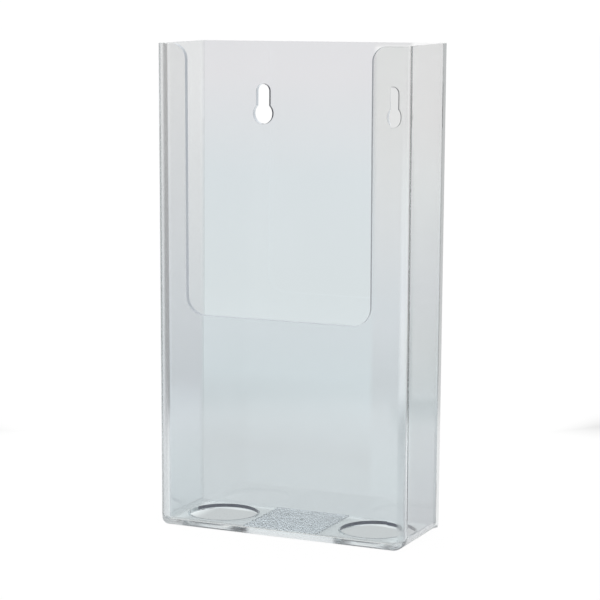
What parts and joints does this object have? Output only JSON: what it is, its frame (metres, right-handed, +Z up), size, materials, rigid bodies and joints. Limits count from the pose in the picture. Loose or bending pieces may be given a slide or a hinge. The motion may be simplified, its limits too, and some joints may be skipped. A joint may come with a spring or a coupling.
{
  "type": "brochure rack",
  "caption": "Slim clear plastic wall pocket for folded leaflets, open at the top, with a wide U-shaped front opening, hanging keyholes and a pierced floor.",
  "frame": {"origin": "middle of the footprint at the height of the underside", "axes": "+Z up along the height, +X to the right seen from the front, +Y towards the wall it hangs on, so the front faces -Y"},
  "size_m": [0.11, 0.0434, 0.1997],
  "materials": {
    "clear_plastic": "polished clear polystyrene with a faint cool grey cast",
    "ribbed_plastic": "clear polystyrene moulded with fine ribs that scatter light"
  },
  "bodies": {
    "root": {"base_tray": "clear_plastic", "back_panel": "clear_plastic", "left_side_wall": "clear_plastic", "right_side_wall": "clear_plastic", "front_panel": "clear_plastic", "left_front_strip": "clear_plastic", "right_front_strip": "clear_plastic", "ribbed_pad": "ribbed_plastic"}
  },
  "joints": []
}
